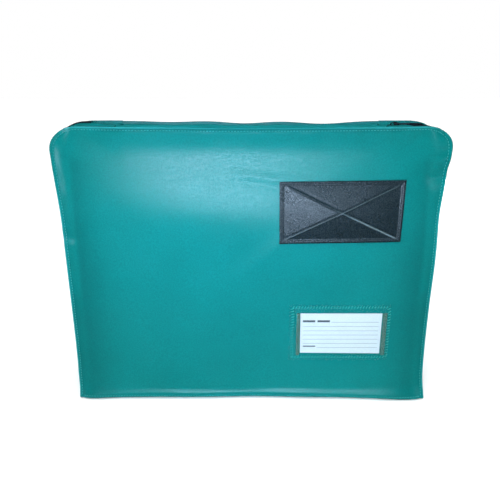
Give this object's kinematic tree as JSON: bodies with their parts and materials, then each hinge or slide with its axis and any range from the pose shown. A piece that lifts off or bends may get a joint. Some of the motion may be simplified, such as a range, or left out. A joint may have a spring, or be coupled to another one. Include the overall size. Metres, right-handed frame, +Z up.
{
  "type": "cash deposit bag",
  "caption": "Upright gusseted zip bag in grained vinyl for cash and post, with a dark patch and a clear card window on the front.",
  "frame": {"origin": "middle of the flat base, where the bag stands", "axes": "+Z up, +X to the right as the front is seen, front towards -Y"},
  "size_m": [0.384, 0.0796, 0.302],
  "materials": {
    "teal_vinyl": "satin, fine leather grain",
    "slate_vinyl": "satin, coarse leather grain",
    "zip_tape": "woven tape",
    "zip_coil": "nylon coil",
    "zip_metal": "dark enamel, satin",
    "clear_film": "clear glossy film",
    "card": "matt card",
    "teal_thread": "twisted thread",
    "slate_thread": "twisted thread"
  },
  "bodies": {
    "bag": {"front_panel": "teal_vinyl", "back_panel": "teal_vinyl", "left_gusset": "teal_vinyl", "right_gusset": "teal_vinyl", "bottom_gusset": "teal_vinyl", "top_end_left": "teal_vinyl", "top_end_right": "teal_vinyl", "zip_tape_end_left": "zip_tape", "zip_tape_end_right": "zip_tape", "zip_coil_end_left": "zip_coil", "zip_coil_end_right": "zip_coil", "zip_stop_left": "zip_metal", "zip_stop_right": "zip_metal", "front_patch": "slate_vinyl", "label_window": "clear_film", "front_seam_thread": "teal_thread", "rear_seam_thread": "teal_thread", "patch_thread": "slate_thread", "window_thread": "teal_thread"},
    "mouth_front": {"mouth_strip_front": "teal_vinyl", "zip_tape_front": "zip_tape", "zip_coil_front": "zip_coil"},
    "mouth_rear": {"mouth_strip_rear": "teal_vinyl", "zip_tape_rear": "zip_tape", "zip_coil_rear": "zip_coil"},
    "slider": {"zip_slider": "zip_metal"},
    "puller": {"zip_puller": "zip_metal"},
    "card": {"insert_card": "card"}
  },
  "joints": [
    {"name": "zip_slide", "type": "slide", "parent": "bag", "child": "slider", "axis": [-1, 0, 0], "range_m": [0, 0.294]},
    {"name": "puller_hinge", "type": "hinge", "parent": "slider", "child": "puller", "pos_m": [0.147, 0, 0.2998], "axis": [0, -1, 0], "range_deg": [0, 165]},
    {"name": "mouth_front_fold", "type": "hinge", "parent": "bag", "child": "mouth_front", "pos_m": [0, -0.02985, 0.2969], "axis": [1, 0, 0], "range_deg": [0, 80]},
    {"name": "mouth_rear_fold", "type": "hinge", "parent": "bag", "child": "mouth_rear", "pos_m": [0, 0.03265, 0.2969], "axis": [1, 0, 0], "range_deg": [-80, 0]},
    {"name": "card_slide", "type": "slide", "parent": "bag", "child": "card", "axis": [1, 0, 0], "range_m": [0, 0.06]}
  ],
  "couplings": [
    {"joint": "mouth_rear_fold", "follows": "mouth_front_fold", "ratio": -1}
  ]
}
